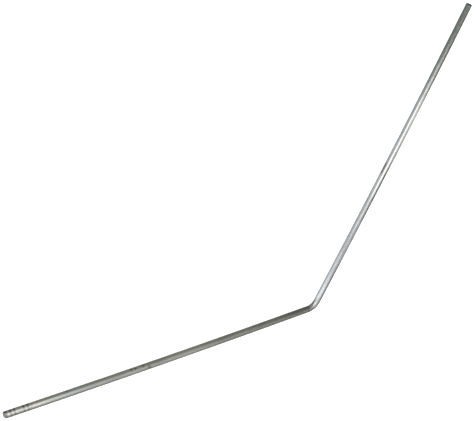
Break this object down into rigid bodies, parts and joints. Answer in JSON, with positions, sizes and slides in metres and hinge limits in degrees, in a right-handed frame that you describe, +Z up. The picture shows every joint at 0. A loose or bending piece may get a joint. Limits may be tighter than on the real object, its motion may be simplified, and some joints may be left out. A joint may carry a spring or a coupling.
{
  "type": "drill paint mixer",
  "caption": "Round metal bar bent in the middle: one straight leg is gripped in a drill's chuck and the other sweeps through paint to stir it.",
  "frame": {"origin": "centre of the cut face at the shank end, on the bar's centreline", "axes": "+X along the shank leg from the origin to the bend, +Y to the side that the stirring leg turns to, +Z up, square to the plane of the bend, with the bar lying flat"},
  "size_m": [0.5581, 0.288, 0.0064],
  "materials": {
    "bright_bar": "bright drawn steel bar with a thin zinc plate, semi-polished, faintly streaked along its length"
  },
  "bodies": {
    "root": {"mixing_rod": "bright_bar"}
  },
  "joints": []
}
